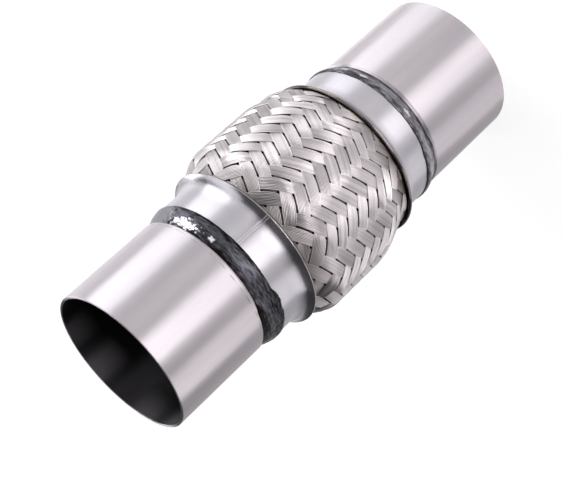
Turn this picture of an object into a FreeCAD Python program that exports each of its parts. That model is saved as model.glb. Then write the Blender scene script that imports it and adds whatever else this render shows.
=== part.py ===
import FreeCAD, Part
import math
import os
import Sketcher

# Exhaust flex pipe, standing on its lower mouth. The pipe's axis is +Z and the
# origin is the centre of the lower mouth. All sizes are in millimetres.

os.makedirs("parts", exist_ok=True)
doc = FreeCAD.newDocument("exhaust_flex_pipe")

# Driving dimensions, one row each in the sheet.
DIMENSIONS = [
    # extension pipes
    ("tube_bore", 63.5),
    ("tube_wall", 1.2),
    ("pipe_length", 52.1),
    ("neck_drop", 1.0),
    ("neck_bare", 0.1),
    ("shoulder_length", 1.0),
    ("rim_round", 0.25),
    # flex section, from collar end to collar end
    ("flex_length", 99.0),
    ("seat_gap", 0.05),
    # flared collars
    ("collar_step", 1.05),
    ("collar_wall", 1.2),
    ("collar_length", 11.7),
    ("flare_length", 7.0),
    ("flare_rise", 4.13),
    # weld beads
    ("weld_leg", 5.2),
    ("weld_lap", 3.0),
    ("weld_cover", 0.08),
    ("weld_height", 0.45),
    ("weld_crown", 0.9),
    # rings inside the mouths of the flex section
    ("ring_wall", 1.0),
    ("ring_length", 13.0),
    # bellows
    ("bellows_wall", 0.5),
    ("bellows_cuff_length", 28.5),
    ("convolution_pitch", 4.6),
    ("crest_width", 1.6),
    ("root_width", 1.6),
    ("crest_gap", 0.1),
    # inner braid
    ("liner_wall", 0.6),
    # outer braid
    ("barrel_rise", 8.2),
    ("crown_length", 26.0),
    ("crown_offset", 4.0),
    ("braid_gap", 0.3),
    ("braid_web", 0.5),
    ("braid_ridge", 0.55),
    ("weave_repeats", 12),
    ("row_rise", 6.2),
    ("braid_phase", 10.75),
    ("groove_width", 1.0),
    ("hole_width", 1.1),
]

sheet = doc.addObject("Spreadsheet::Sheet", "Sizes")
for row, (alias, value) in enumerate(DIMENSIONS, start=1):
    sheet.set("A%d" % row, alias)
    sheet.set("B%d" % row, str(value))
    sheet.setAlias("B%d" % row, alias)
doc.recompute()


class Size:
    """A length worked out from the sheet: its value, and the expression that binds it."""

    def __init__(self, text, value):
        self.text = text
        self.value = value

    def combined(self, sign, other, value):
        text = other.text if isinstance(other, Size) else repr(other)
        return Size("(%s %s %s)" % (self.text, sign, text), value)

    def __add__(self, other):
        return self.combined("+", other, self.value + number(other))

    def __sub__(self, other):
        return self.combined("-", other, self.value - number(other))

    def __rsub__(self, other):
        return Size("(%r - %s)" % (other, self.text), other - self.value)

    def __mul__(self, other):
        return self.combined("*", other, self.value * number(other))

    def __truediv__(self, other):
        return self.combined("/", other, self.value / number(other))

    def __pow__(self, power):
        return self.combined("^", power, self.value ** power)


def number(size):
    return size.value if isinstance(size, Size) else size


def cell(alias):
    return Size("Sizes." + alias, float(getattr(sheet, alias)))


def root(size):
    return Size("sqrt(%s)" % size.text, math.sqrt(size.value))


def whole(size):
    return Size("floor(%s)" % size.text, math.floor(size.value))


# Radii of the nested pieces at the ends of the flex section, from the outside in.
tube_radius = cell("tube_bore") / 2 + cell("tube_wall")
neck_radius = tube_radius - cell("neck_drop")
collar_radius = tube_radius + cell("collar_step")
collar_bore = collar_radius - cell("collar_wall")
braid_cuff = collar_bore - cell("seat_gap")
bellows_cuff = braid_cuff - cell("braid_web") - cell("seat_gap")
liner_radius = bellows_cuff - cell("bellows_wall") - cell("seat_gap")
ring_radius = liner_radius - cell("liner_wall") - cell("seat_gap")

# Places along the axis, as distances from the middle.
half_flex = cell("flex_length") / 2
middle = cell("pipe_length") + half_flex
flare_start = half_flex - cell("collar_length")

# The collar's flare is an arc that starts along the cylinder. Its inside follows
# the same centre, one wall further out, and ends on the same ray as the outside.
flare_bend = (cell("flare_length") ** 2 + cell("flare_rise") ** 2) / (cell("flare_rise") * 2)
flare_growth = (flare_bend + cell("collar_wall")) / flare_bend
flare_centre = collar_radius + flare_bend
lip = flare_start - cell("flare_length") * flare_growth

# The braid leaves the flare at the lip, and rises over a shoulder to its crown.
braid_bend = flare_bend + cell("collar_wall") + cell("braid_gap")
braid_foot = flare_centre - root(braid_bend ** 2 - (flare_start - lip) ** 2)
crown_radius = collar_radius + cell("barrel_rise")
crown_half = cell("crown_length") / 2


def shoulder_radius(run, length, foot, crown):
    """Radius at a run from the crown's edge, on a shoulder that ends level with its foot."""
    return foot + (crown - foot) * (1 - (run / length) ** 2) ** 2


def height(side, distance):
    """Height of a plane that lies a distance from the middle, on the upper or lower side."""
    return middle + distance * side


def origin_plane(body, role):
    for feature in body.Origin.OriginFeatures:
        if feature.Role == role:
            return feature
    raise ValueError(role)


def profile_sketch(body, name, outline):
    """A closed outline of (radius, height) points, each bound to the sheet.

    A third entry bends the line that leaves a point into an arc: the arc's radius,
    positive where the arc's centre lies to the right of the line.
    """
    sketch = body.newObject("Sketcher::SketchObject", name)
    sketch.AttachmentSupport = [(origin_plane(body, "XZ_Plane"), "")]
    sketch.MapMode = "FlatFace"
    points = [FreeCAD.Vector(entry[0].value, entry[1].value, 0) for entry in outline]
    for index, entry in enumerate(outline):
        start = points[index]
        end = points[(index + 1) % len(points)]
        if len(entry) == 3:
            sketch.addGeometry(arc_between(start, end, entry[2].value), False)
        else:
            sketch.addGeometry(Part.LineSegment(start, end), False)
    for index, entry in enumerate(outline):
        follower = (index + 1) % len(outline)
        first = first_end(entry)
        last = 3 - first
        joined = Sketcher.Constraint("Coincident", index, last, follower, first_end(outline[follower]))
        sketch.addConstraint(joined)
        bind(sketch, Sketcher.Constraint("DistanceX", -1, 1, index, first, entry[0].value), entry[0])
        bind(sketch, Sketcher.Constraint("DistanceY", -1, 1, index, first, entry[1].value), entry[1])
        if len(entry) == 3:
            size = entry[2] if entry[2].value > 0 else entry[2] * -1
            bind(sketch, Sketcher.Constraint("Radius", index, size.value), size)
    return sketch


def first_end(entry):
    """The sketcher's number for the end that an edge leaves from: 2 on a clockwise arc."""
    return 2 if len(entry) == 3 and entry[2].value > 0 else 1


def bind(sketch, constraint, size):
    place = sketch.addConstraint(constraint)
    sketch.setExpression("Constraints[%d]" % place, size.text)


def arc_between(start, end, radius):
    """An arc of the given radius from start to end, less than half a turn."""
    chord = end - start
    halfway = (start + end) * 0.5
    rightward = FreeCAD.Vector(chord.y, -chord.x, 0).normalize()
    offset = math.sqrt(radius ** 2 - (chord.Length / 2) ** 2)
    centre = halfway + rightward * math.copysign(offset, radius)
    away = (halfway - centre).normalize()
    return Part.Arc(start, centre + away * abs(radius), end)


def turned(body, name, outline):
    """Turns an outline once round the pipe's axis, as the body's next feature."""
    sketch = profile_sketch(body, name + "_outline", outline)
    feature = body.newObject("PartDesign::Revolution", name + "_turned")
    feature.Profile = sketch
    feature.ReferenceAxis = (sketch, ["V_Axis"])
    feature.Angle = 360.0
    body.Tip = feature
    doc.recompute()
    return feature


def new_body(label):
    body = doc.addObject("PartDesign::Body", label)
    body.Label = label
    return body


def extension_pipe(end, side):
    """Plain tube whose inner end is drawn down to a neck where it meets the flex section."""
    wall = cell("tube_wall")
    bore = cell("tube_bore") / 2
    edge = cell("rim_round")
    joint = height(side, half_flex)
    neck = height(side, half_flex + cell("weld_leg") + cell("neck_bare"))
    shoulder = neck + cell("shoulder_length") * side
    mouth = height(side, half_flex + cell("pipe_length"))
    edge_start = mouth - edge * side
    pipe = new_body(end + "_pipe")
    turned(pipe, end + "_pipe", [
        (bore, edge_start),
        (bore + edge, mouth),
        (tube_radius - edge, mouth),
        (tube_radius, edge_start),
        (tube_radius, shoulder),
        (neck_radius, neck),
        (neck_radius, joint),
        (neck_radius - wall, joint),
        (neck_radius - wall, neck),
        (bore, shoulder),
    ])
    return pipe


def flared_collar(end, side):
    """End cap rolled from strip: a cylinder over the cuffs and a flare over the braid."""
    outer_arc = flare_bend * -side
    inner_arc = (flare_bend + cell("collar_wall")) * side
    outer_lip = collar_radius + cell("flare_rise")
    inner_lip = flare_centre - (flare_centre - outer_lip) * flare_growth
    collar = new_body(end + "_collar")
    turned(collar, end + "_collar", [
        (collar_bore, height(side, half_flex)),
        (collar_radius, height(side, half_flex)),
        (collar_radius, height(side, flare_start), outer_arc),
        (outer_lip, height(side, flare_start - cell("flare_length"))),
        (inner_lip, height(side, lip), inner_arc),
        (collar_bore, height(side, flare_start)),
    ])
    return collar


def weld_bead(end, side):
    """Fillet weld that climbs from the pipe's neck onto the end of the collar."""
    bead = new_body(end + "_weld")
    turned(bead, end + "_weld", [
        (neck_radius, height(side, half_flex)),
        (neck_radius, height(side, half_flex + cell("weld_leg"))),
        (collar_radius + cell("weld_cover"), height(side, half_flex)),
        (collar_radius + cell("weld_height"), height(side, half_flex - cell("weld_crown"))),
        (collar_radius, height(side, half_flex - cell("weld_lap"))),
        (collar_radius, height(side, half_flex)),
    ])
    return bead


def inner_ring(end, side):
    """Ring pressed into the cuffs, which clamps the braids and the bellows to the collar."""
    edge = cell("rim_round")
    bore = ring_radius - cell("ring_wall")
    far_end = height(side, half_flex - cell("ring_length"))
    ring = new_body(end + "_inner_ring")
    turned(ring, end + "_inner_ring", [
        (bore, height(side, half_flex)),
        (ring_radius, height(side, half_flex)),
        (ring_radius, far_end),
        (bore + edge, far_end),
        (bore, far_end + edge * side),
    ])
    return ring


def bellows():
    """Thin corrugated tube that holds the gas: two plain cuffs and a row of convolutions."""
    wall = cell("bellows_wall")
    pitch = cell("convolution_pitch")
    room = cell("flex_length") - cell("bellows_cuff_length") * 2
    count = whole(room / pitch)
    crest_half = cell("crest_width") / 2
    flank = pitch / 2 - cell("root_width") / 2
    bore = bellows_cuff - wall

    # The crests clear the braid where it sinks most over them, at the lower end.
    last_crest = pitch * (count - 1) / 2 + crest_half
    crown_edge = crown_half - cell("crown_offset")
    braid_over_crest = shoulder_radius(last_crest - crown_edge, lip - crown_edge, braid_foot, crown_radius)
    crest = braid_over_crest - cell("braid_ridge") - cell("braid_web") - cell("crest_gap")

    body = new_body("bellows")
    start = middle - pitch * count / 2
    centre = start + pitch / 2
    convolution = turned(body, "convolution", [
        (bore, start),
        (bore, centre - flank + wall),
        (crest - wall, centre - crest_half + wall),
        (crest - wall, centre + crest_half - wall),
        (bore, centre + flank - wall),
        (bore, start + pitch),
        (bellows_cuff, start + pitch),
        (bellows_cuff, centre + flank),
        (crest, centre + crest_half),
        (crest, centre - crest_half),
        (bellows_cuff, centre - flank),
        (bellows_cuff, start),
    ])

    row = body.newObject("PartDesign::LinearPattern", "convolution_row")
    row.Originals = [convolution]
    row.Direction = (convolution.Profile[0], ["V_Axis"])
    row.setExpression("Occurrences", count.text)
    row.setExpression("Length", (pitch * (count - 1)).text)
    body.Tip = row
    doc.recompute()

    for end, side in (("lower", -1), ("upper", 1)):
        row_end = height(side, pitch * count / 2)
        turned(body, end + "_cuff", [
            (bore, row_end),
            (bore, height(side, half_flex)),
            (bellows_cuff, height(side, half_flex)),
            (bellows_cuff, row_end),
        ])
    return body


def inner_braid():
    """Wire liner that keeps the hot gas off the bellows, pressed flat into a thin tube."""
    bore = liner_radius - cell("liner_wall")
    liner = new_body("inner_braid")
    turned(liner, "inner_braid", [
        (bore, height(-1, half_flex)),
        (liner_radius, height(-1, half_flex)),
        (liner_radius, height(1, half_flex)),
        (bore, height(1, half_flex)),
    ])
    return liner


# The outer braid is one wall with a herringbone of raised floats. Bundles of wire
# wind both ways round the barrel, and each passes over two others and under two. The
# edges of the bundles cross in a lattice of columns and rows. A crossing of two
# bundles is a diamond of that lattice, two columns wide and two rows high. A float
# covers two neighbouring diamonds, so the floats stand in upright bands that lean
# left and right in turn, and a herringbone repeat is four columns wide.
COLUMNS_PER_REPEAT = 4

# Depth of a float's places under its crown, in shares of the ridge.
FREE_CORNER_DEPTH = 1 / 3
SHARED_CORNER_DEPTH = 1 / 2
GROOVE_DEPTH = 1

# Rows at each end of the lattice that the collar covers, and that have no gaps.
COVERED_ROWS = 3


class BraidWall:
    """Works out the braid's wall in flat triangles and sews them into one solid."""

    def __init__(self):
        self.columns = COLUMNS_PER_REPEAT * int(cell("weave_repeats").value)
        self.column_turn = math.radians(360.0 / self.columns)
        self.phase = math.radians(cell("braid_phase").value)
        self.row_height = cell("row_rise").value / 2
        self.rows = int(math.ceil(lip.value / self.row_height)) + 1
        self.web = cell("braid_web").value
        self.ridge = cell("braid_ridge").value
        edge = math.hypot(crown_radius.value * self.column_turn, self.row_height)
        bundle_width = 2 * crown_radius.value * self.column_turn * self.row_height / edge
        self.groove_share = cell("groove_width").value / 2 / bundle_width
        self.hole_share = cell("hole_width").value / 2 / edge
        self.faces = []

    def flare_radius(self, distance):
        """Outer radius of the braid where it lies inside the collar."""
        run = flare_start.value - distance
        if run <= 0:
            return braid_cuff.value
        return max(braid_cuff.value, flare_centre.value - math.sqrt(braid_bend.value ** 2 - run ** 2))

    def radius(self, offset):
        """Outer radius of the floats at an offset from the middle, along the axis."""
        if abs(offset) >= lip.value:
            return self.flare_radius(abs(offset))
        run = abs(offset - cell("crown_offset").value) - crown_half.value
        if run <= 0:
            return crown_radius.value
        crown_shift = math.copysign(cell("crown_offset").value, offset * cell("crown_offset").value)
        length = lip.value - crown_shift - crown_half.value
        return shoulder_radius(run, length, braid_foot.value, crown_radius.value)

    def at(self, radius, column, offset):
        """The point at a radius, a lattice column and an offset from the middle."""
        angle = column * self.column_turn + self.phase
        return FreeCAD.Vector(radius * math.cos(angle), radius * math.sin(angle), middle.value + offset)

    def outside(self, column, row, depth):
        offset = row * self.row_height
        return self.at(self.radius(offset) - depth * self.ridge, column, offset)

    def inside(self, column, row):
        """A corner of the inner face, moved out so that the flats beside it keep the wall."""
        offset = row * self.row_height
        return self.at(self.flat_radius(self.radius(offset) - self.ridge - self.web), column, offset)

    def flat_radius(self, radius):
        return radius / math.cos(self.column_turn / 2)

    def add(self, *corners):
        """A patch of flat triangles, fanned from its first corner."""
        for second, third in zip(corners[1:], corners[2:]):
            self.faces.append(Part.Face(Part.makePolygon([corners[0], second, third, corners[0]])))

    def has_hole(self, column, row):
        """Gaps between the wires stand where four floats meet, beyond the collars."""
        return column % COLUMNS_PER_REPEAT == 0 and abs(row) <= self.rows - COVERED_ROWS

    def shared_side(self, column, row):
        """The side on which a diamond meets the other half of its float, or None."""
        place = column % COLUMNS_PER_REPEAT
        leans_left = place < COLUMNS_PER_REPEAT // 2
        first_half = place % 2 == 0
        partner_row = row + (1 if leans_left == first_half else -1)
        if abs(partner_row) >= self.rows:
            return None
        if leans_left:
            return 2 if first_half else 0
        return 1 if first_half else 3

    def diamond(self, column, row):
        """One crossing of two bundles, with the half of the float that covers it.

        Corners run left, bottom, right, top. Side k joins corner k to the next one.
        """
        corners = [(column - 1, row), (column, row - 1), (column + 1, row), (column, row + 1)]
        shared = self.shared_side(column, row)
        groove, inner, top = [], [], []
        for corner, here in enumerate(corners):
            before = corners[corner - 1]
            after = corners[(corner + 1) % 4]
            top.append(self.float_corner(corner, before, here, after, shared))
            if self.has_hole(*here):
                cuts = [self.towards(here, before), self.towards(here, after)]
                depths = [
                    SHARED_CORNER_DEPTH if side % 4 == shared else GROOVE_DEPTH
                    for side in (corner - 1, corner)
                ]
                groove.append([self.outside(*cut, depth) for cut, depth in zip(cuts, depths)])
                inner.append([self.inside(*cut) for cut in cuts])
            else:
                groove.append([self.outside(*here, GROOVE_DEPTH)])
                inner.append([self.inside(*here)])
        self.add(*top)
        for corner in range(4):
            after = (corner + 1) % 4
            if corner != shared:
                self.add(groove[corner][-1], groove[after][0], top[after], top[corner])
            if len(groove[corner]) == 2:
                self.add(groove[corner][0], groove[corner][1], top[corner])
                self.add(groove[corner][1], groove[corner][0], inner[corner][0], inner[corner][1])
        self.add(*[vertex for pair in reversed(inner) for vertex in reversed(pair)])

    def towards(self, here, neighbour):
        """Where a gap at a lattice corner cuts the edge to a neighbouring corner."""
        return tuple(a + (b - a) * self.hole_share for a, b in zip(here, neighbour))

    def float_corner(self, corner, before, here, after, shared):
        """Corner of a float's raised face, drawn in from each side that has a groove."""
        column, row = here
        for neighbour, side in ((before, corner), (after, (corner - 1) % 4)):
            if side != shared:
                column += (neighbour[0] - here[0]) * self.groove_share
                row += (neighbour[1] - here[1]) * self.groove_share
        mid_float = shared is not None and shared in (corner, (corner - 1) % 4)
        return self.outside(column, row, 0 if mid_float else FREE_CORNER_DEPTH)

    def cuff(self, side):
        """Plain cuff from the ragged edge of the lattice down to the end of the collar."""
        columns = range(self.columns + 1)
        edge_rows = [side * (self.rows - (column + self.rows + 1) % 2) for column in columns]
        outer = [self.outside(column, row, GROOVE_DEPTH) for column, row in zip(columns, edge_rows)]
        inner = [self.inside(column, row) for column, row in zip(columns, edge_rows)]
        first = self.rows * self.row_height
        for distance in ((first + flare_start.value) / 2, flare_start.value, half_flex.value):
            radius = self.flare_radius(distance)
            bore = self.flat_radius(radius - self.web)
            next_outer = [self.at(radius, column, side * distance) for column in columns]
            next_inner = [self.at(bore, column, side * distance) for column in columns]
            self.band(side, outer, next_outer)
            self.band(-side, inner, next_inner)
            outer, inner = next_outer, next_inner
        self.band(side, outer, inner)

    def band(self, side, near, far):
        """Triangles between two rings of points, wound so that they face one way."""
        for left in range(self.columns):
            right = left + 1
            if side > 0:
                self.add(near[left], near[right], far[right], far[left])
            else:
                self.add(near[left], far[left], far[right], near[right])

    def solid(self):
        for column in range(self.columns):
            for row in range(1 - self.rows, self.rows):
                if (column + row) % 2 == 0:
                    self.diamond(column, row)
        self.cuff(1)
        self.cuff(-1)
        shell = Part.makeShell(self.faces)
        shell.sewShape()
        solid = Part.makeSolid(Part.Shell(shell.Faces))
        if solid.Volume < 0:
            solid.reverse()
        return solid


def outer_braid():
    """Braided wire sleeve over the bellows, clamped under the collars at both ends."""
    braid = doc.addObject("Part::Feature", "outer_braid")
    braid.Label = "outer_braid"
    braid.Shape = BraidWall().solid()
    return braid


pieces = []
for end, side in (("lower", -1), ("upper", 1)):
    pieces.append(extension_pipe(end, side))
    pieces.append(weld_bead(end, side))
    pieces.append(flared_collar(end, side))
    pieces.append(inner_ring(end, side))
pieces.append(bellows())
pieces.append(inner_braid())
pieces.append(outer_braid())

# Every piece is drawn where it stands.
for piece in pieces:
    piece.Placement = FreeCAD.Placement()
doc.recompute()

for item in doc.Objects:
    if "Invalid" in item.State or "Error" in item.State:
        raise RuntimeError("%s did not rebuild" % item.Name)
for piece in pieces:
    if piece.Shape.isNull() or not piece.Shape.isValid() or len(piece.Shape.Solids) != 1:
        raise RuntimeError("%s is not one sound solid" % piece.Label)
    piece.Shape.exportStep("parts/%s.step" % piece.Label)
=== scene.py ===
import math

import bpy
from mathutils import Matrix, Vector


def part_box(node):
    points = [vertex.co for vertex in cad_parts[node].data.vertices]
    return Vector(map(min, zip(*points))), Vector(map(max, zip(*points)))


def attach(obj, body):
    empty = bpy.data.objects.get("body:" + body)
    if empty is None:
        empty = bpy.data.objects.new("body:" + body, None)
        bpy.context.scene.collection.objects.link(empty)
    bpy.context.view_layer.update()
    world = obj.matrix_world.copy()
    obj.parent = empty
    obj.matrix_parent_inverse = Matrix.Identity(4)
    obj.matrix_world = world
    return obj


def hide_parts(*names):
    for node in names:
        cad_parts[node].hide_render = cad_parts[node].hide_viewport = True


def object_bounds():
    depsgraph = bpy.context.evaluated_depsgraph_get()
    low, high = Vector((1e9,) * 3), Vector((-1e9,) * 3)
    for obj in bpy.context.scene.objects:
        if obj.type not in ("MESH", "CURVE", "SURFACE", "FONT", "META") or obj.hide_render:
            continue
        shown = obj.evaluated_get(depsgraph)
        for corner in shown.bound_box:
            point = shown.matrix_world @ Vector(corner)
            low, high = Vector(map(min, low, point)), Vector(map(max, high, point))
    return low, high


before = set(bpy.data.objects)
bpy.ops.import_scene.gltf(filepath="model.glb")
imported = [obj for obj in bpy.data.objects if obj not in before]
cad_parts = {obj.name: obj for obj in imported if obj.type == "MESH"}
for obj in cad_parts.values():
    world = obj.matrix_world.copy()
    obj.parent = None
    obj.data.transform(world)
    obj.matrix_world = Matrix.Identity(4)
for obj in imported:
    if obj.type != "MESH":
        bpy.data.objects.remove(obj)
cad_low, cad_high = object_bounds()

# Extension pipes: two lengths of stainless tube with a satin, slightly warm skin. Each
# is cut square, and its inner end is drawn down to a neck that the weld sits on.
MM = 0.001

pipe_low, pipe_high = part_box("upper_pipe")
collar_low, collar_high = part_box("upper_collar")
middle = (cad_low.z + cad_high.z) / 2
joint_height = pipe_low.z
pipe_radius = pipe_high.x
pipe_wall = 1.2 * MM
pipe_bore = pipe_radius - pipe_wall
neck_radius = pipe_radius - 1.0 * MM
neck_length = {"upper": 5.3 * MM, "lower": 4.0 * MM}
shoulder_length = 0.9 * MM
rim_round = 0.25 * MM
shoulder_round = 0.3 * MM


def rounded(corners, steps=5):
    """Outline points from (radius, height, round) corners, each round drawn as an arc."""
    points = []
    for index, (radius, height, bend) in enumerate(corners):
        corner = Vector((radius, height))
        before = Vector(corners[index - 1][:2]) - corner
        after = Vector(corners[(index + 1) % len(corners)][:2]) - corner
        if not bend:
            points.append(tuple(corner))
            continue
        half_angle = before.angle(after) / 2
        start = corner + before.normalized() * bend / math.tan(half_angle)
        halfway = (before.normalized() + after.normalized()).normalized()
        centre = corner + halfway * bend / math.sin(half_angle)
        sweep = math.pi - 2 * half_angle
        side = 1 if before.x * after.y - before.y * after.x < 0 else -1
        for step in range(steps + 1):
            turn = Matrix.Rotation(side * sweep * step / steps, 2)
            points.append(tuple(centre + turn @ (start - centre)))
    return points


def mirrored(outline):
    """The same outline for the other end of the flex pipe."""
    return [(radius, 2 * middle - height) for radius, height in reversed(outline)]


def turned(name, outline, segments=288):
    """A piece turned round the pipe's axis from an outline that runs up its outside."""
    count = len(outline)
    points = []
    for segment in range(segments):
        angle = 2 * math.pi * segment / segments
        points += [(r * math.cos(angle), r * math.sin(angle), z) for r, z in outline]
    faces = []
    for segment in range(segments):
        here, there = segment * count, (segment + 1) % segments * count
        for index in range(count):
            after = (index + 1) % count
            faces.append((here + index, there + index, there + after, here + after))
    mesh = bpy.data.meshes.new(name)
    mesh.from_pydata(points, [], faces)
    mesh.shade_smooth()
    mesh.set_sharp_from_angle(angle=math.radians(35))
    piece = bpy.data.objects.new(name, mesh)
    bpy.context.scene.collection.objects.link(piece)
    return piece


def place(tree, kind, inputs=(), **settings):
    """Adds a node. Settings are its own options, inputs its sockets as values or links."""
    node = tree.nodes.new(kind)
    for option, value in settings.items():
        setattr(node, option, value)
    for socket, value in dict(inputs).items():
        connect(tree, value, node.inputs[socket])
    return node


def connect(tree, value, socket):
    if isinstance(value, Sum):
        value = value.socket
    if isinstance(value, bpy.types.NodeSocket):
        tree.links.new(value, socket)
    else:
        socket.default_value = value


class Sum:
    """A number in a node tree, so that a rule can be written out as on paper."""

    def __init__(self, tree, socket):
        self.tree = tree
        self.socket = socket

    def step(self, operation, *others):
        node = self.tree.nodes.new("ShaderNodeMath")
        node.operation = operation
        for index, value in enumerate((self, *others)):
            connect(self.tree, value, node.inputs[index])
        return Sum(self.tree, node.outputs[0])

    def __add__(self, other):
        return self.step("ADD", other)

    def __sub__(self, other):
        return self.step("SUBTRACT", other)

    def __rsub__(self, other):
        return self.step("MULTIPLY_ADD", -1.0, other)

    def __mul__(self, other):
        return self.step("MULTIPLY", other)

    def __truediv__(self, other):
        return self.step("DIVIDE", other)

    def __abs__(self):
        return self.step("ABSOLUTE")

    def squared(self):
        return self.step("MULTIPLY", self)

    def root(self):
        return self.step("SQRT")

    def cosine(self):
        return self.step("COSINE")

    def sine(self):
        return self.step("SINE")

    def floor(self):
        return self.step("FLOOR")

    def at_least(self, other):
        return self.step("MAXIMUM", other)

    def at_most(self, other):
        return self.step("MINIMUM", other)

    def clamped(self):
        return self.at_least(0.0).at_most(1.0)

    def above(self, other):
        return self.step("GREATER_THAN", other)


def new_material(name):
    """A material with one metal shader, and its node tree."""
    material = bpy.data.materials.new(name)
    material.use_nodes = True
    tree = material.node_tree
    tree.nodes.clear()
    shader = place(tree, "ShaderNodeBsdfPrincipled", {"Metallic": 1.0})
    output = place(tree, "ShaderNodeOutputMaterial")
    tree.links.new(shader.outputs[0], output.inputs[0])
    return material, tree, shader


def ride_root(piece, material):
    """Finishes a piece: its material and the body it belongs to."""
    piece.data.materials.clear()
    piece.data.materials.append(material)
    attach(piece, "root")


def stretched_noise(tree, coordinates, scale, detail=2.0):
    """Noise on the piece's own coordinates, with its own scale along each axis, per metre."""
    mapping = place(tree, "ShaderNodeMapping", {"Vector": coordinates, "Scale": scale})
    noise = place(tree, "ShaderNodeTexNoise", {
        "Vector": mapping.outputs[0], "Scale": 1.0, "Detail": detail, "Roughness": 0.55,
    })
    return Sum(tree, noise.outputs[0])


def coordinates(tree):
    """The piece's own coordinates: the vector, and its x, y and z."""
    here = place(tree, "ShaderNodeTexCoord").outputs["Object"]
    xyz = place(tree, "ShaderNodeSeparateXYZ", {0: here})
    return here, *(Sum(tree, output) for output in xyz.outputs)


def blend(tree, share, first, second):
    """Mixes two tones: the first where the share is 0, the second where it is 1."""
    mix = place(tree, "ShaderNodeMix", {0: share, "A": first, "B": second}, data_type="RGBA")
    return mix.outputs[2]


def tube_metal(name, dull, bright, roughness, grain, shaded_bore_radius=0.0, inside=(0.0, 0.0, 0.0, 1.0)):
    """Drawn and brushed tube: highlights stretch along the axis, and tone drifts round it; a bore inside the
    given radius gets a near-black tone, painted shade.
    """
    material, tree, shader = new_material(name)
    here, x, y, _ = coordinates(tree)
    streaks = stretched_noise(tree, here, (90.0, 90.0, 7.0), 3.0)
    brushing = stretched_noise(tree, here, (160.0, 160.0, 2600.0), 2.0)
    tone = blend(tree, (streaks - 0.5) * 1.6 + 0.5, dull, bright)
    # Painted shade: the bore is given a near-black tone for the dark inside of the tube.
    if shaded_bore_radius:
        in_shaded_bore = 1.0 - (x.squared() + y.squared()).root().above(shaded_bore_radius)
        tone = blend(tree, in_shaded_bore, tone, inside)
    connect(tree, tone, shader.inputs["Base Color"])
    connect(tree, (brushing - 0.5) * grain + roughness, shader.inputs["Roughness"])
    shader.inputs["Anisotropic"].default_value = 0.95
    along = place(tree, "ShaderNodeCombineXYZ", {2: 1.0})
    tree.links.new(along.outputs[0], shader.inputs["Tangent"])
    return material


def pipe_outline(neck_end):
    """Up the outside from the joint to the mouth, and down the bore."""
    shoulder_end = neck_end + shoulder_length
    return rounded([
        (neck_radius, joint_height, 0),
        (neck_radius, neck_end, shoulder_round),
        (pipe_radius, shoulder_end, shoulder_round),
        (pipe_radius, pipe_high.z, rim_round),
        (pipe_bore, pipe_high.z, rim_round),
        (pipe_bore, shoulder_end, shoulder_round),
        (neck_radius - pipe_wall, neck_end, shoulder_round),
        (neck_radius - pipe_wall, joint_height, 0),
    ])


# The near-black bore tone given here is painted shade for the inside of the pipe.
pipe_steel = tube_metal(
    "pipe_steel", (0.44, 0.41, 0.455, 1), (0.60, 0.555, 0.572, 1), 0.45, 0.08,
    shaded_bore_radius=pipe_bore + 0.1 * MM, inside=(0.037, 0.034, 0.038, 1),
)
for end, neck in neck_length.items():
    outline = pipe_outline(joint_height + neck)
    pipe = turned("extension_pipe_" + end, outline if end == "upper" else mirrored(outline))
    ride_root(pipe, pipe_steel)
    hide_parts(end + "_pipe")

# Weld beads: one pass laid by hand round each joint, over the collar's end and onto the
# neck. The metal froze in fine lumps and laps, and burnt nearly black at the upper joint.
collar_radius = 34.0 * MM
weld_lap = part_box("upper_weld")[0].z
bead_height = 0.35 * MM
bead_crown = joint_height - 0.9 * MM
bare_roughness = 0.36
scorch_gap = 2.2 * MM
scorch_width = 0.35 * MM
scorch_wander = 2.4 * MM


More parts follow.
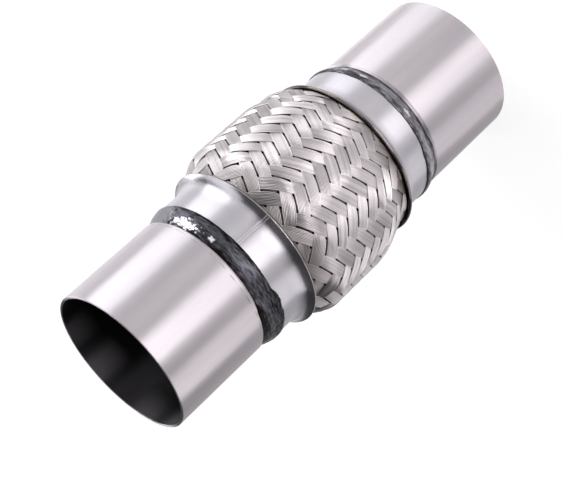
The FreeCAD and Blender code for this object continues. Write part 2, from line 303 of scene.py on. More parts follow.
def bead_tree():
    """Roughens a plain bead with lumps and laps, and widens it where the pass closed."""
    tree = bpy.data.node_groups.new("weld_bead", "GeometryNodeTree")
    tree.interface.new_socket("Bead", in_out="OUTPUT", socket_type="NodeSocketGeometry")
    tree.interface.new_socket("Bead", in_out="INPUT", socket_type="NodeSocketGeometry")
    for name in ("Lump Height", "Lap Height", "Toe Waver", "Collar Toe", "Pipe Toe", "Close Angle",
                 "Close Width", "Close Reach", "Close Rise", "Seed"):
        tree.interface.new_socket(name, in_out="INPUT", socket_type="NodeSocketFloat")
    tree.interface.new_socket("Metal", in_out="INPUT", socket_type="NodeSocketMaterial")
    sizes = place(tree, "NodeGroupInput").outputs
    size = {socket.name: Sum(tree, socket) for socket in sizes if socket.type == "VALUE"}
    position = place(tree, "GeometryNodeInputPosition").outputs[0]
    xyz = place(tree, "ShaderNodeSeparateXYZ", {0: position})
    x, y, z = (Sum(tree, output) for output in xyz.outputs)
    radius = (x.squared() + y.squared()).root()

    def lumps(round_scale, axis_scale, detail):
        """Noise with its own scale per metre round the bead and across it, from -0.5 to 0.5."""
        spot = place(tree, "ShaderNodeCombineXYZ", {
            0: x * round_scale + size["Seed"], 1: y * round_scale + size["Seed"], 2: z * axis_scale,
        })
        noise = place(tree, "ShaderNodeTexNoise", {
            "Vector": spot.outputs[0], "Scale": 1.0, "Detail": detail, "Roughness": 0.6,
        })
        return Sum(tree, noise.outputs[0]) - 0.5

    # A share across the bead: 0 at the toe on the collar, 1 at the toe on the pipe.
    share = ((z - size["Collar Toe"]) / (size["Pipe Toe"] - size["Collar Toe"])).clamped()
    cover = (share * (1.0 - share) * 4.0).root()
    fine_lumps = lumps(330.0, 420.0, 3.0) * size["Lump Height"]
    laps = lumps(120.0, 900.0, 2.0) * size["Lap Height"]
    swell = (fine_lumps + laps) * cover

    # The pass ends over its own start, where it spreads over both edges.
    towards = x / radius * size["Close Angle"].cosine() + y / radius * size["Close Angle"].sine()
    closing = ((towards - size["Close Width"].cosine()) / (1.0 - size["Close Width"].cosine())).at_least(0.0)
    edge = closing.at_most(0.5) * 2.0
    outward = swell * (edge * 1.4 + 1.0) + edge * size["Close Rise"] * (share + 0.25)
    down = (size["Collar Toe"] - size["Pipe Toe"]) / abs(size["Collar Toe"] - size["Pipe Toe"])
    waver = lumps(140.0, 0.0, 3.0) * 2.0 * size["Toe Waver"]
    spill = edge * (waver / size["Toe Waver"] * 0.8 + 1.0) * size["Close Reach"]
    slide = down * (1.0 - share) * (waver + spill) - down * share * edge * size["Close Reach"]
    offset = place(tree, "ShaderNodeCombineXYZ", {0: x / radius * outward, 1: y / radius * outward, 2: slide})
    moved = place(tree, "GeometryNodeSetPosition", {"Geometry": sizes["Bead"], "Offset": offset.outputs[0]})
    real = place(tree, "GeometryNodeRealizeInstances", {0: moved.outputs[0]})
    dressed = place(tree, "GeometryNodeSetMaterial", {
        "Geometry": real.outputs[0], "Material": sizes["Metal"],
    })
    output = place(tree, "NodeGroupOutput")
    tree.links.new(dressed.outputs[0], output.inputs[0])
    return tree


def formed(piece, tree, sizes):
    """Runs a node tree on a piece with the given sizes, and keeps the result as its mesh."""
    modifier = piece.modifiers.new(tree.name, "NODES")
    modifier.node_group = tree
    for item in tree.interface.items_tree:
        if item.in_out == "INPUT" and item.name in sizes:
            modifier[item.identifier] = sizes[item.name]
    evaluated = bpy.context.evaluated_depsgraph_get()
    mesh = bpy.data.meshes.new_from_object(piece.evaluated_get(evaluated), depsgraph=evaluated)
    piece.modifiers.remove(modifier)
    piece.data = mesh
    mesh.name = piece.name


def weld_metal(name, dark, light, streaking, toe_height):
    """Frozen weld under its scale: fine streaks along the bead, and painted shade in the creases at both
    toes.
    """
    material, tree, shader = new_material(name)
    here, _, _, z = coordinates(tree)
    streaks = stretched_noise(tree, here, (300.0, 300.0, 1500.0), 4.0)
    clouds = stretched_noise(tree, here, (62.0, 62.0, 260.0), 5.0)
    across = ((abs(z - middle) - (weld_lap - middle)) / (toe_height - weld_lap)).clamped()
    # Painted shade: the tone falls off towards both toes, into the creases beside the bead.
    crown = across * (1.0 - across) * 4.0 - 0.65
    mottle = crown * 0.6 + (streaks - 0.5) * streaking + (clouds - 0.5) * 2.2
    share = (mottle + 0.33).clamped()
    connect(tree, blend(tree, share, dark, light), shader.inputs["Base Color"])
    connect(tree, 0.55 - share * 0.15, shader.inputs["Roughness"])
    pits = stretched_noise(tree, here, (1100.0, 1100.0, 2200.0), 4.0)
    bump = place(tree, "ShaderNodeBump", {"Strength": 0.5, "Distance": 0.25 * MM, "Height": pits})
    tree.links.new(bump.outputs[0], shader.inputs["Normal"])
    return material


def shader_of(material):
    return next(node for node in material.node_tree.nodes if node.type == "BSDF_PRINCIPLED")


def repaint(material, share, tone):
    """Lays another tone over a material's own, by a share from 0 to 1 at each place."""
    tree = material.node_tree
    base = shader_of(material).inputs["Base Color"]
    connect(tree, blend(tree, share, base.links[0].from_socket, tone), base)


def brightened(material, turn, height, reach, tone, raggedness):
    """Lightens the bead round one place, with a ragged edge that the noise gives: bared metal on the upper
    bead, painted glints on the lower.
    """
    tree = material.node_tree
    here, x, y, z = coordinates(tree)
    reach_round, reach_across = reach
    away = (
        ((x - collar_radius * math.cos(turn)) / reach_round).squared()
        + ((y - collar_radius * math.sin(turn)) / reach_round).squared()
        + ((z - height) / reach_across).squared()
    ).root()
    ragged = (stretched_noise(tree, here, (700.0, 700.0, 1100.0), 4.0) - 0.5) * raggedness
    bare = ((1.0 - away + ragged) * 3.0).clamped()
    repaint(material, bare, tone)
    roughness = shader_of(material).inputs["Roughness"]
    rough = Sum(tree, roughness.links[0].from_socket)
    connect(tree, rough * (1.0 - bare) + bare * bare_roughness, roughness)


def scorched(material):
    """Burns a broken thin line into the upper pipe, a little way off the bead's toe."""
    tree = material.node_tree
    here, _, _, z = coordinates(tree)
    wander = (stretched_noise(tree, here, (60.0, 60.0, 60.0), 3.0) - 0.5) * scorch_wander
    off = abs(z - (joint_height + neck_length["upper"] + scorch_gap) + wander)
    broken = ((stretched_noise(tree, here, (220.0, 220.0, 500.0), 3.0) - 0.48) * 6.0).clamped()
    burn = (1.0 - off / scorch_width).at_least(0.0) * broken * 0.8
    repaint(material, burn, (0.07, 0.06, 0.075, 1.0))


def bead_outline(pipe_toe, steps=22):
    """The bead's skin runs in one swell from the collar over its edge to the neck."""
    collar_toe, neck_toe = (collar_radius, weld_lap), (neck_radius, pipe_toe)
    crown = (collar_radius + bead_height, bead_crown)
    pull = [2 * c - (a + b) / 2 for a, b, c in zip(collar_toe, neck_toe, crown)]
    skin = []
    for step in range(steps + 1):
        share = step / steps
        lap, hump, neck = (1 - share) ** 2, 2 * share * (1 - share), share ** 2
        skin.append(tuple(lap * a + hump * b + neck * c for a, b, c in zip(collar_toe, pull, neck_toe)))
    return skin + [(neck_radius, joint_height), (collar_radius - 0.6 * MM, joint_height - 0.3 * MM)]


scorched(pipe_steel)
bead_lumps = bead_tree()
burnt_toe = joint_height + neck_length["upper"]
burnt = weld_metal("weld_metal_burnt", (0.006, 0.005, 0.005, 1), (0.080, 0.079, 0.093, 1), 2.4, burnt_toe)
grey_toe = joint_height + neck_length["lower"]
grey = weld_metal("weld_metal_grey", (0.04, 0.037, 0.043, 1), (0.36, 0.35, 0.385, 1), 2.6, grey_toe)

# Where the scale is off the burnt bead: turn, height over the joint, reach round the
# bead and across it, tone, and how ragged the edge is.
bare_patches = (
    (-12.0, 1.0 * MM, (13.0 * MM, 8.0 * MM), (0.22, 0.215, 0.24, 1), 1.2),
    (-46.0, 3.0 * MM, (7.0 * MM, 1.9 * MM), (0.40, 0.39, 0.42, 1), 4.0),
    (-70.0, 2.8 * MM, (1.8 * MM, 1.2 * MM), (0.46, 0.45, 0.48, 1), 2.5),
)
for turn, height, reach, tone, raggedness in bare_patches:
    brightened(burnt, math.radians(turn), joint_height + height, reach, tone, raggedness)
lower_joint = 2 * middle - joint_height
# Painted highlights: three small bright glints on the lower bead.
painted_glint_reach = (2.4 * MM, 0.9 * MM)
for turn in (-38.0, -56.0, -96.0):
    brightened(grey, math.radians(turn), lower_joint, painted_glint_reach, (0.62, 0.61, 0.63, 1), 3.0)

bead_looks = {
    "upper": (burnt, {
        "Lump Height": 0.55 * MM, "Toe Waver": 0.50 * MM, "Close Reach": 1.4 * MM, "Seed": 3.0,
    }),
    "lower": (grey, {
        "Lump Height": 0.28 * MM, "Toe Waver": 0.30 * MM, "Close Reach": 0.5 * MM, "Seed": 8.0,
    }),
}
for end, (metal, form) in bead_looks.items():
    pipe_toe = joint_height + neck_length[end] - 0.05 * MM
    outline = bead_outline(pipe_toe)
    bead = turned("weld_bead_" + end, outline if end == "upper" else mirrored(outline), 900)
    side = 1 if end == "upper" else -1
    formed(bead, bead_lumps, {
        **form, "Lap Height": 0.16 * MM, "Collar Toe": middle + side * (weld_lap - middle),
        "Pipe Toe": middle + side * (pipe_toe - middle), "Close Angle": math.radians(-148.0),
        "Close Width": math.radians(26.0), "Close Rise": 0.55 * form["Close Reach"], "Metal": metal,
    })
    bead.data.shade_smooth()
    ride_root(bead, metal)
    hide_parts(end + "_weld")

# Flared collars: rolled from polished strip, butt welded along one fine seam. The plain
# end clamps the cuffs, and the flare opens over the braid to a thin bright lip.
collar_wall = 1.2 * MM
collar_bore = collar_radius - collar_wall
flare_start = 139.4 * MM
flare_length = 7.0 * MM
flare_bend = 8.0 * MM
flare_steps = 14
seam_half_width_mm = 0.55
seam_line_mm = 0.24
shade_blend = 0.15 * MM
smooth_shade_from = flare_start - middle - 3.4 * MM
smooth_shade_to = flare_start - middle - 5.4 * MM


def collar_outline():
    """Down the bore and the inside of the flare, round the lip, and back up the outside."""
    sweep = math.asin(flare_length / flare_bend)
    centre = collar_radius + flare_bend

    def flare(bend, share):
        return (centre - bend * math.cos(sweep * share), flare_start - bend * math.sin(sweep * share))

    shares = [step / flare_steps for step in range(flare_steps + 1)]
    inside = [flare(flare_bend + collar_wall, share) for share in shares]
    outside = [flare(flare_bend, share) for share in reversed(shares)]
    (r0, z0), (r1, z1) = inside[-1], outside[0]
    edge = [
        ((r0 + r1) / 2 + (z1 - z0) / 2 * math.sin(turn) * 0.3 - (r1 - r0) / 2 * math.cos(turn),
         (z0 + z1) / 2 - (r1 - r0) / 2 * math.sin(turn) * 0.3 - (z1 - z0) / 2 * math.cos(turn))
        for turn in (math.pi * step / 6 for step in range(1, 6))
    ]
    top = rounded([
        (collar_radius, flare_start + 0.01 * MM, 0),
        (collar_radius, joint_height, 0.2 * MM),
        (collar_bore, joint_height, 0.2 * MM),
        (collar_bore, flare_start + 0.01 * MM, 0),
    ])
    return inside + edge + outside + top


def seamed(material, seam_angle):
    """Adds the strip's butt seam: two fine dark lines side by side."""
    tree = material.node_tree
    here = place(tree, "ShaderNodeTexCoord").outputs["Object"]
    turned_to = place(tree, "ShaderNodeMapping", {"Vector": here, "Rotation": (0.0, 0.0, -seam_angle)})
    xyz = place(tree, "ShaderNodeSeparateXYZ", {0: turned_to.outputs[0]})
    x, y = Sum(tree, xyz.outputs[0]), Sum(tree, xyz.outputs[1])
    off_mm = abs(abs(y) / MM - seam_half_width_mm)
    line = (1.0 - off_mm / seam_line_mm).at_least(0.0) * x.above(0.0)
    bump = place(tree, "ShaderNodeBump", {
        "Strength": 0.6, "Distance": 0.15 * MM, "Height": line,
    }, invert=True)
    tree.links.new(bump.outputs[0], shader_of(material).inputs["Normal"])
    repaint(material, line * 0.75, (0.14, 0.13, 0.13, 1.0))


def shade_flare_inside(material, shade_from):
    """Darkens the flare's inside, and its cut edge from a given depth: painted shade of the gap between the
    flare and the braid.
    """
    tree = material.node_tree
    _, x, y, z = coordinates(tree)
    rise = abs(z - middle) - (flare_start - middle)
    reach = (x.squared() + y.squared()).root() - (collar_radius + flare_bend)
    depth = (reach.squared() + rise.squared()).root() - flare_bend
    # Painted shade on the flare's inner side and its cut edge.
    flare_shade = ((depth - shade_from) / shade_blend).clamped() * (0.0 - rise).above(0.0)
    repaint(material, flare_shade, (0.11, 0.09, 0.085, 1.0))


def smooth_and_shade_flare(material):
    """The flare was spun over a former, which leaves it smoother towards its lip; there its colour is also
    darkened, a painted dark reflection.
    """
    tree = material.node_tree
    z = coordinates(tree)[3]
    towards_lip = ((smooth_shade_from - abs(z - middle)) / (smooth_shade_from - smooth_shade_to)).clamped()
    roughness = shader_of(material).inputs["Roughness"]
    rough = Sum(tree, roughness.links[0].from_socket)
    connect(tree, rough * (1.0 - towards_lip * 0.46), roughness)
    # Painted dark reflection: the flare's colour goes towards black near its lip.
    repaint(material, towards_lip * 0.40, (0.0, 0.0, 0.0, 1.0))


collar_skin = collar_outline()
# Each collar: end, outline, seam turn, and the depth from which painted shade starts on the flare's inside.
collar_looks = (
    ("upper", collar_skin, -85.0, 0.39 * MM),
    ("lower", mirrored(collar_skin), 150.0, 0.09 * MM),
)
for end, outline, seam, shade_from in collar_looks:
    steel = tube_metal("collar_steel_" + end, (0.455, 0.435, 0.485, 1), (0.575, 0.55, 0.58, 1), 0.42, 0.05)
    seamed(steel, math.radians(seam))
    smooth_and_shade_flare(steel)
    shade_flare_inside(steel, shade_from)
    collar = turned("flared_collar_" + end, outline)
    ride_root(collar, steel)
    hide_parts(end + "_collar")

# Inner rings: short steel rings pressed into the mouths of the flex section. They clamp
# the braids and the bellows outwards against the collars, and show only down the bore.
ring_steel = tube_metal("ring_steel", (0.20, 0.20, 0.21, 1), (0.27, 0.265, 0.27, 1), 0.45, 0.08)
for end, side in (("upper", 1), ("lower", -1)):
    ring_low, ring_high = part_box(end + "_inner_ring")
    ring_radius = ring_high.x
    ring_bore = ring_radius - 1.0 * MM
    ring = turned("clamping_ring_" + end, rounded([
        (ring_bore, ring_low.z, rim_round),
        (ring_radius, ring_low.z, rim_round),
        (ring_radius, ring_high.z, rim_round),
        (ring_bore, ring_high.z, rim_round),
    ]), 192)
    ride_root(ring, ring_steel)
    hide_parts(end + "_inner_ring")

# Bellows: one thin tube pressed into round convolutions, with a plain cuff at each end.
# It holds the gas, and its near-black tone is painted shade, for the darkness behind the gaps of the outer
# braid.
bellows_low, bellows_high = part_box("bellows")
crest_radius = bellows_high.x
cuff_radius = 32.2 * MM
bellows_wall = 0.5 * MM
convolutions = 9
convolution_pitch = 4.6 * MM
wave_steps = 12


def bellows_skin(offset):
    """The outer skin moved inwards by an offset, from the lower end to the upper one."""
    depth = crest_radius - cuff_radius
    row_start = middle - convolutions * convolution_pitch / 2
    skin = [(cuff_radius - offset, bellows_low.z)]
    for step in range(convolutions * wave_steps + 1):
        share = step / wave_steps
        lift = 0.5 - 0.5 * math.cos(2 * math.pi * share)
        skin.append((cuff_radius + depth * lift - offset, row_start + share * convolution_pitch))
    return skin + [(cuff_radius - offset, bellows_high.z)]


bellows = turned("bellows_tube", bellows_skin(0) + bellows_skin(bellows_wall)[::-1], 160)
# Painted shade: the bellows are near-black so that the gaps in the braid read dark.
bellows_steel = tube_metal("bellows_steel", (0.030, 0.028, 0.027, 1), (0.05, 0.047, 0.045, 1), 0.5, 0.05)
ride_root(bellows, bellows_steel)
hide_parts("bellows")

# Inner braid: a wire liner pressed flat against the cuffs, which keeps hot gas off the
# bellows. Its bore is rubbed smooth, so the weave shows only as a fine relief.
liner_low, liner_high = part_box("inner_braid")
liner_radius = liner_high.x
liner_bore = liner_radius - 0.6 * MM
liner_columns = 96
liner_row_height = 2.4 * MM
liner_wire, liner_tree, liner_shader = new_material("liner_wire")
liner_x, liner_y, liner_z = coordinates(liner_tree)[1:]
liner_turn = liner_y.step("ARCTAN2", liner_x) * (liner_columns / (2 * math.pi))
liner_row = liner_z / liner_row_height
rising, falling = liner_turn + liner_row, liner_turn - liner_row
over = ((rising * math.pi).sine() * (falling * math.pi).sine()).above(0.0)
wires = over * abs((rising * 3 * math.pi).sine()) + (1.0 - over) * abs((falling * 3 * math.pi).sine())
# Painted shade: the tone goes near-black between the wire crests.
liner_tone_and_shade = blend(liner_tree, wires, (0.03, 0.03, 0.032, 1.0), (0.24, 0.235, 0.23, 1.0))
liner_relief = place(liner_tree, "ShaderNodeBump", {"Strength": 0.8, "Distance": 0.25 * MM, "Height": wires})
connect(liner_tree, liner_tone_and_shade, liner_shader.inputs["Base Color"])
connect(liner_tree, liner_relief.outputs[0], liner_shader.inputs["Normal"])
liner_shader.inputs["Roughness"].default_value = 0.42
liner = turned("wire_liner", [
    (liner_bore, liner_high.z), (liner_bore, liner_low.z),
    (liner_radius, liner_low.z), (liner_radius, liner_high.z),
], 192)
ride_root(liner, liner_wire)
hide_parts("inner_braid")

# Outer braid: 48 flat bundles of nine bright wires, half of them wound each way round
# the barrel. Each bundle passes over two others and under two, in a herringbone.
braid_low, braid_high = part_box("outer_braid")
weave = {
    "Bundles": 24,
    "Wires": 9,
    "Crossings": 20.4,
    "Steps": 102,
    "Row Height": 3.1 * MM,
    "Phase": math.radians(10.75),
    "Middle": middle,
    "Crown Radius": 42.15 * MM,
    "Crown Half Length": 13.0 * MM,
    "Crown Offset": 4.0 * MM,
    "Lip": flare_start - middle - flare_length * (flare_bend + collar_wall) / flare_bend,
    "Flare Start": flare_start - middle,
    "Flare Centre": collar_radius + flare_bend,
    "Flare Bend": flare_bend + collar_wall + 0.6 * MM,
    "Cuff Radius": collar_bore - 0.1 * MM,
    "Wire Size": 0.52 * MM,
    "Weave Depth": 0.29 * MM,
    "Fill": 0.905,
    "Squeeze": 0.13,
    "Slump": 2.6 * MM,
    "Slump Angle": math.radians(2.0),
    "Slump Length": 10.5 * MM,
    "Unevenness": 0.24,
    "Seed": 5.0,
}
column_turn = math.pi / weave["Bundles"]
crest_flatness = 0.18
# Reach and turn of the painted shade on the braid beside the lips.
lip_shade_reach = 8.0 * MM
lip_shade_turn = math.radians(-110.0)


def braid_tree():
    """Lays straight wires side by side in bundles and winds them onto the barrel."""
    tree = bpy.data.node_groups.new("wire_braid", "GeometryNodeTree")
    tree.interface.new_socket("Braid", in_out="OUTPUT", socket_type="NodeSocketGeometry")
    for name, value in weave.items():
        kind = "NodeSocketInt" if isinstance(value, int) else "NodeSocketFloat"
        tree.interface.new_socket(name, in_out="INPUT", socket_type=kind)
    tree.interface.new_socket("Lean", in_out="INPUT", socket_type="NodeSocketFloat")
    tree.interface.new_socket("Wire Metal", in_out="INPUT", socket_type="NodeSocketMaterial")
    sizes = place(tree, "NodeGroupInput").outputs
    size = {socket.name: Sum(tree, socket) for socket in sizes if socket.type in ("VALUE", "INT")}

    # One straight wire: a crossing is one unit long, and the wire one unit thick.
    half = size["Crossings"] * 0.5
    start = place(tree, "ShaderNodeCombineXYZ", {0: half * -1.0})
    end = place(tree, "ShaderNodeCombineXYZ", {0: half})
    line = place(tree, "GeometryNodeCurvePrimitiveLine", {"Start": start.outputs[0], "End": end.outputs[0]})
    path = place(tree, "GeometryNodeResampleCurve", {"Curve": line.outputs[0], "Count": size["Steps"] + 1.0})
    section = place(tree, "GeometryNodeCurvePrimitiveCircle", {"Resolution": 4, "Radius": 0.5})
    wire = place(tree, "GeometryNodeCurveToMesh", {
        "Curve": path.outputs[0], "Profile Curve": section.outputs[0], "Fill Caps": True,
    })

    # One copy for each wire of the braid, which keeps its own number.
    count = size["Bundles"] * size["Wires"]
    spots = place(tree, "GeometryNodePoints", {"Count": count})
    number = place(tree, "GeometryNodeInputIndex").outputs[0]
    numbered = place(tree, "GeometryNodeStoreNamedAttribute", {
        "Geometry": spots.outputs[0], "Name": "wire_number", "Value": number,
    }, data_type="FLOAT", domain="POINT")
    copies = place(tree, "GeometryNodeInstanceOnPoints", {
        "Points": numbered.outputs[0], "Instance": wire.outputs[0],
    })
    wires = place(tree, "GeometryNodeRealizeInstances", {0: copies.outputs[0]})
    read_number = place(tree, "GeometryNodeInputNamedAttribute", {"Name": "wire_number"}, data_type="FLOAT")
    wire_number = Sum(tree, read_number.outputs[0])
    bundle = ((wire_number + 0.5) / size["Wires"]).floor()
    wire_in_bundle = wire_number - bundle * size["Wires"]
    xyz = place(tree, "ShaderNodeSeparateXYZ", {0: place(tree, "GeometryNodeInputPosition").outputs[0]})
    along, across, up = (Sum(tree, output) for output in xyz.outputs)

    def waver(pace, channel, owner):
        """Slow drift along a wire or a bundle, from -0.5 to 0.5."""
        spot = place(tree, "ShaderNodeCombineXYZ", {
            0: along * pace, 1: owner * 3.7 + size["Seed"] * 11.0, 2: size["Lean"] * 5.0 + channel,
        })
        noise = place(tree, "ShaderNodeTexNoise", {"Vector": spot.outputs[0], "Scale": 1.0, "Detail": 0.0})
        return (Sum(tree, noise.outputs[0]) - 0.5) * size["Unevenness"]

    # Over two and under two: a wave four crossings long, squared off at its crests.
    wave_angle = (along + bundle * 2.0 - 0.5) * (math.pi / 2)
    round_wave = wave_angle.cosine() * (1.0 + crest_flatness)
    wave = (round_wave - (wave_angle * 3.0).cosine() * crest_flatness) * size["Lean"]

    # Place on the lattice of crossings, in columns round the barrel and rows along it. A
    # bundle is squeezed narrower where it dives, which opens the corners of its floats.
    share = (wire_in_bundle + 0.5 + across + waver(0.9, 1.0, wire_number) * 0.5) / size["Wires"] - 0.5
    spread = size["Fill"] - size["Squeeze"] * (1.0 - abs(wave)).at_least(0.0)
    side_step = share * spread + waver(0.35, 2.0, bundle) * 0.10
    column = along + bundle * 2.0 + side_step
    row = (along - side_step) * size["Lean"]
    angle = column * column_turn + size["Phase"]
    offset = row * size["Row Height"]

    # The barrel: a crown, a shoulder to each side, and the flare inside the collars.
    distance = abs(offset)
    upper = (offset * size["Crown Offset"]).above(0.0) * 2.0 - 1.0
    run = (abs(offset - size["Crown Offset"]) - size["Crown Half Length"]).at_least(0.0)
    shoulder = size["Lip"] - upper * size["Crown Offset"] - size["Crown Half Length"]
    flare_run = (size["Flare Start"] - distance).at_least(0.0).at_most(size["Flare Bend"])
    flare = size["Flare Centre"] - (size["Flare Bend"].squared() - flare_run.squared()).root()
    lip_run = size["Flare Start"] - size["Lip"]
    foot = size["Flare Centre"] - (size["Flare Bend"].squared() - lip_run.squared()).root()
    fall = 1.0 - (run / shoulder).at_most(1.0).squared()
    barrel = foot + (size["Crown Radius"] - foot) * fall.squared()
    # The slack of the last bend bulges to one side over the lower lip.
    rise = ((offset + size["Lip"]) / size["Slump Length"]).clamped()
    facing = (angle - size["Slump Angle"]).cosine().at_least(0.0).squared()
    slump = (rise * (1.0 - rise)).root() * 2.0 * facing * size["Slump"]
    barrel = (barrel + slump).at_most(size["Crown Radius"])
    covered = distance.above(size["Lip"])
    skin = barrel + (flare.at_least(size["Cuff Radius"]) - barrel) * covered

    sunk = (1.0 - wave) * size["Weave Depth"]
    jitter = (waver(1.3, 3.0, wire_number) + 0.5) * 0.12
    radius = skin - sunk + (up - 0.5 - jitter) * size["Wire Size"]

    wound = place(tree, "ShaderNodeCombineXYZ", {
        0: angle.cosine() * radius, 1: angle.sine() * radius, 2: offset + size["Middle"],
    })
    crossing = ((along + bundle * 2.0 + 0.5) * 0.5).floor()
    stretch = place(tree, "ShaderNodeCombineXYZ", {0: crossing, 1: bundle, 2: size["Lean"]})
    chance = place(tree, "ShaderNodeTexWhiteNoise", {"Vector": stretch.outputs[0]}, noise_dimensions="3D")
    rub = place(tree, "GeometryNodeStoreNamedAttribute", {
        "Geometry": wires.outputs[0], "Name": "rub", "Value": chance.outputs["Value"],
    }, data_type="FLOAT", domain="POINT")
    buried = place(tree, "GeometryNodeStoreNamedAttribute", {
        "Geometry": rub.outputs[0], "Name": "buried", "Value": (1.0 - wave) * 0.5,
    }, data_type="FLOAT", domain="POINT")
    moved = place(tree, "GeometryNodeSetPosition", {
        "Geometry": buried.outputs[0], "Position": wound.outputs[0],
    })
    smooth = place(tree, "GeometryNodeSetShadeSmooth", {"Geometry": moved.outputs[0]})
    real = place(tree, "GeometryNodeRealizeInstances", {0: smooth.outputs[0]})
    dressed = place(tree, "GeometryNodeSetMaterial", {
        "Geometry": real.outputs[0], "Material": sizes["Wire Metal"],
    })
    output = place(tree, "NodeGroupOutput")
    tree.links.new(dressed.outputs[0], output.inputs[0])
    return tree


def bright_wire():
    """Drawn stainless wire, each with its own tone, with painted shade where it lies under others and beside
    the lips.
    """
    material, tree, shader = new_material("braid_wire")

    def kept(name):
        """A number that the braid's tree keeps along its wires."""
        return Sum(tree, place(tree, "ShaderNodeAttribute", attribute_name=name).outputs["Fac"])

    chance = place(tree, "ShaderNodeTexWhiteNoise", {"W": kept("wire_number")}, noise_dimensions="1D")
    own = Sum(tree, chance.outputs["Value"])
    here, x, y, z = coordinates(tree)
    rubbed = stretched_noise(tree, here, (70.0, 70.0, 70.0), 2.0)
    share = own * 0.4 + rubbed * 0.25 + kept("rub") * 0.35
    tone = blend(tree, share, (0.40, 0.37, 0.38, 1.0), (0.90, 0.85, 0.865, 1.0))

    # Painted shade: wires are darkened where they pass under others, more in some places than in others.
    held_down = ((kept("buried") - 0.64) * 4.5).clamped()
    under_shade = held_down * (rubbed * 2.6 - 0.5).at_least(0.4).at_most(0.95)
    shaded_tone = blend(tree, under_shade, tone, (0.04, 0.035, 0.036, 1.0))

    # Painted shade: the wires are darkened brown beside the lips, most on the front, where the flares shade
    # them.
    beside_lip = ((abs(z - middle) - weave["Lip"]) / lip_shade_reach + 1.0).clamped()
    facing = (x * math.cos(lip_shade_turn) + y * math.sin(lip_shade_turn)) / (x.squared() + y.squared()).root()
    lip_shade = beside_lip * facing.at_least(0.0) * (rubbed * 1.8).at_most(1.0) * 0.95
    lip_shaded = blend(tree, lip_shade, shaded_tone, (0.10, 0.078, 0.07, 1.0))
    connect(tree, lip_shaded, shader.inputs["Base Color"])
    connect(tree, own * 0.08 + 0.30, shader.inputs["Roughness"])
    return material


braid_wire = bright_wire()
weaver = braid_tree()
for lean, name in ((1.0, "braid_rising_bundles"), (-1.0, "braid_falling_bundles")):
    half_braid = bpy.data.objects.new(name, bpy.data.meshes.new(name))
    bpy.context.scene.collection.objects.link(half_braid)
    formed(half_braid, weaver, {**weave, "Lean": lean, "Wire Metal": braid_wire})
    ride_root(half_braid, braid_wire)
    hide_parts("outer_braid")

# The stand and the light: the pipe stands on a pale floor that glows where it is seen, in
# a dim room with eight softboxes round it. The camera looks down at the upper mouth,
# turned as the photograph is.
stage_reach = 3.0


def pale_where_seen(tree, lit, white):
    """The lit surface, with enough glow added for the eye and for reflections to be white."""
    rays = place(tree, "ShaderNodeLightPath").outputs
    seen = Sum(tree, rays["Is Camera Ray"])
    for ray in ("Is Glossy Ray", "Is Transmission Ray"):
        seen = seen + Sum(tree, rays[ray])
    glow = place(tree, "ShaderNodeEmission", {
        "Color": (1.0, 1.0, 1.0, 1.0), "Strength": seen.at_most(1.0) * white,
    })
    both = place(tree, "ShaderNodeAddShader", {0: lit, 1: glow.outputs[0]})
    return both.outputs[0]


floor_mesh = bpy.data.meshes.new("floor")
floor_corners = [(x * stage_reach, y * stage_reach, 0.0) for x, y in ((-1, -1), (1, -1), (1, 1), (-1, 1))]
floor_mesh.from_pydata(floor_corners, [], [(0, 1, 2, 3)])
floor = bpy.data.objects.new("floor", floor_mesh)
bpy.context.scene.collection.objects.link(floor)
floor_paint = bpy.data.materials.new("floor_paint")
floor_paint.use_nodes = True
floor_nodes = floor_paint.node_tree
floor_nodes.nodes.clear()
matt = place(floor_nodes, "ShaderNodeBsdfDiffuse", {"Color": (0.32, 0.32, 0.32, 1.0)})
floor_output = place(floor_nodes, "ShaderNodeOutputMaterial")
connect(floor_nodes, pale_where_seen(floor_nodes, matt.outputs[0], 0.8), floor_output.inputs[0])
floor_mesh.materials.append(floor_paint)

world = bpy.data.worlds.new("room")
bpy.context.scene.world = world
world.use_nodes = True
room = world.node_tree
room.nodes.clear()
air = place(room, "ShaderNodeBackground", {"Color": (1.0, 1.0, 1.0, 1.0), "Strength": 0.1})
room_output = place(room, "ShaderNodeOutputWorld")
room.links.new(air.outputs[0], room_output.inputs[0])


lamp_distance = 2.9
lamp_aim = Vector((0.0, 0.0, 0.08))
cool_tube = (0.965, 0.985, 1.0)
warm_tube = (1.0, 0.975, 0.975)


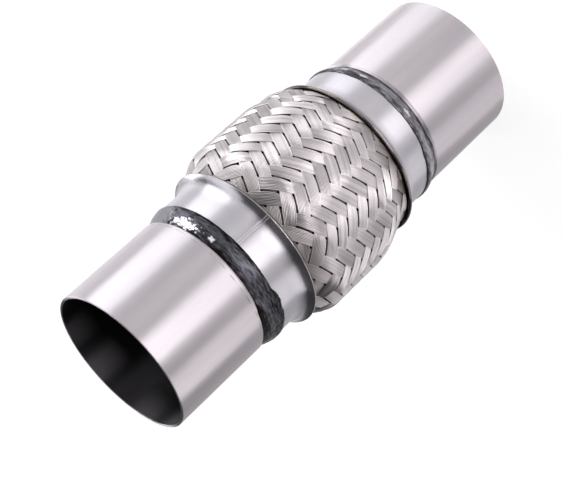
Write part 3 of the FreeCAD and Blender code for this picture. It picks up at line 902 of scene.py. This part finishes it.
def softbox(name, azimuth, width, low, high, radiance, tint=(1.0, 1.0, 1.0)):
    """A soft panel that faces the pipe. Its width and its two edges are angles seen from there."""
    rise = math.radians((low + high) / 2)
    turn = math.radians(azimuth)
    lamp = bpy.data.lights.new(name, "AREA")
    lamp.shape = "RECTANGLE"
    lamp.size = 2 * lamp_distance * math.cos(rise) * math.tan(math.radians(width / 2))
    lamp.size_y = 2 * lamp_distance * math.tan(math.radians((high - low) / 2))
    lamp.energy = radiance * lamp.size * lamp.size_y * math.pi
    lamp.color = tint
    panel = bpy.data.objects.new(name, lamp)
    away = Vector((math.cos(rise) * math.cos(turn), math.cos(rise) * math.sin(turn), math.sin(rise)))
    panel.location = lamp_aim + away * lamp_distance
    panel.rotation_euler = away.to_track_quat("Z", "Y").to_euler()
    panel.visible_camera = False
    bpy.context.scene.collection.objects.link(panel)


softbox("front_panel", -106.0, 36.0, 1.0, 17.0, 10.6, warm_tube)
softbox("front_fill", -100.0, 80.0, 1.0, 17.0, 2.0)
softbox("right_panel", -9.0, 42.0, 1.0, 17.0, 8.6, cool_tube)
softbox("right_fill", 20.0, 100.0, 1.0, 17.0, 1.4, cool_tube)
softbox("left_panel", -170.0, 42.0, 1.0, 17.0, 4.6, warm_tube)
softbox("right_front_panel", -50.0, 40.0, 17.0, 36.0, 2.8)
softbox("back_panel", 56.0, 26.0, 17.0, 36.0, 5.5)
softbox("high_panel", 12.0, 76.0, 36.0, 60.0, 2.3)

camera_lens = bpy.data.cameras.new("camera")
camera_lens.sensor_width = 36.0
camera_lens.lens = 97.6
camera = bpy.data.objects.new("camera", camera_lens)
view_down = math.radians(25.75)
view_aside = math.radians(1.08)
view_roll = math.radians(-133.13)
camera_spot = (0.0, -0.5619, 0.3910)
camera.matrix_world = (
    Matrix.Translation(camera_spot)
    @ Matrix.Rotation(view_aside, 4, "Z")
    @ Matrix.Rotation(math.pi / 2 - view_down, 4, "X")
    @ Matrix.Rotation(view_roll, 4, "Z")
)
bpy.context.scene.collection.objects.link(camera)
bpy.context.scene.camera = camera
bpy.context.scene.view_settings.view_transform = "Standard"
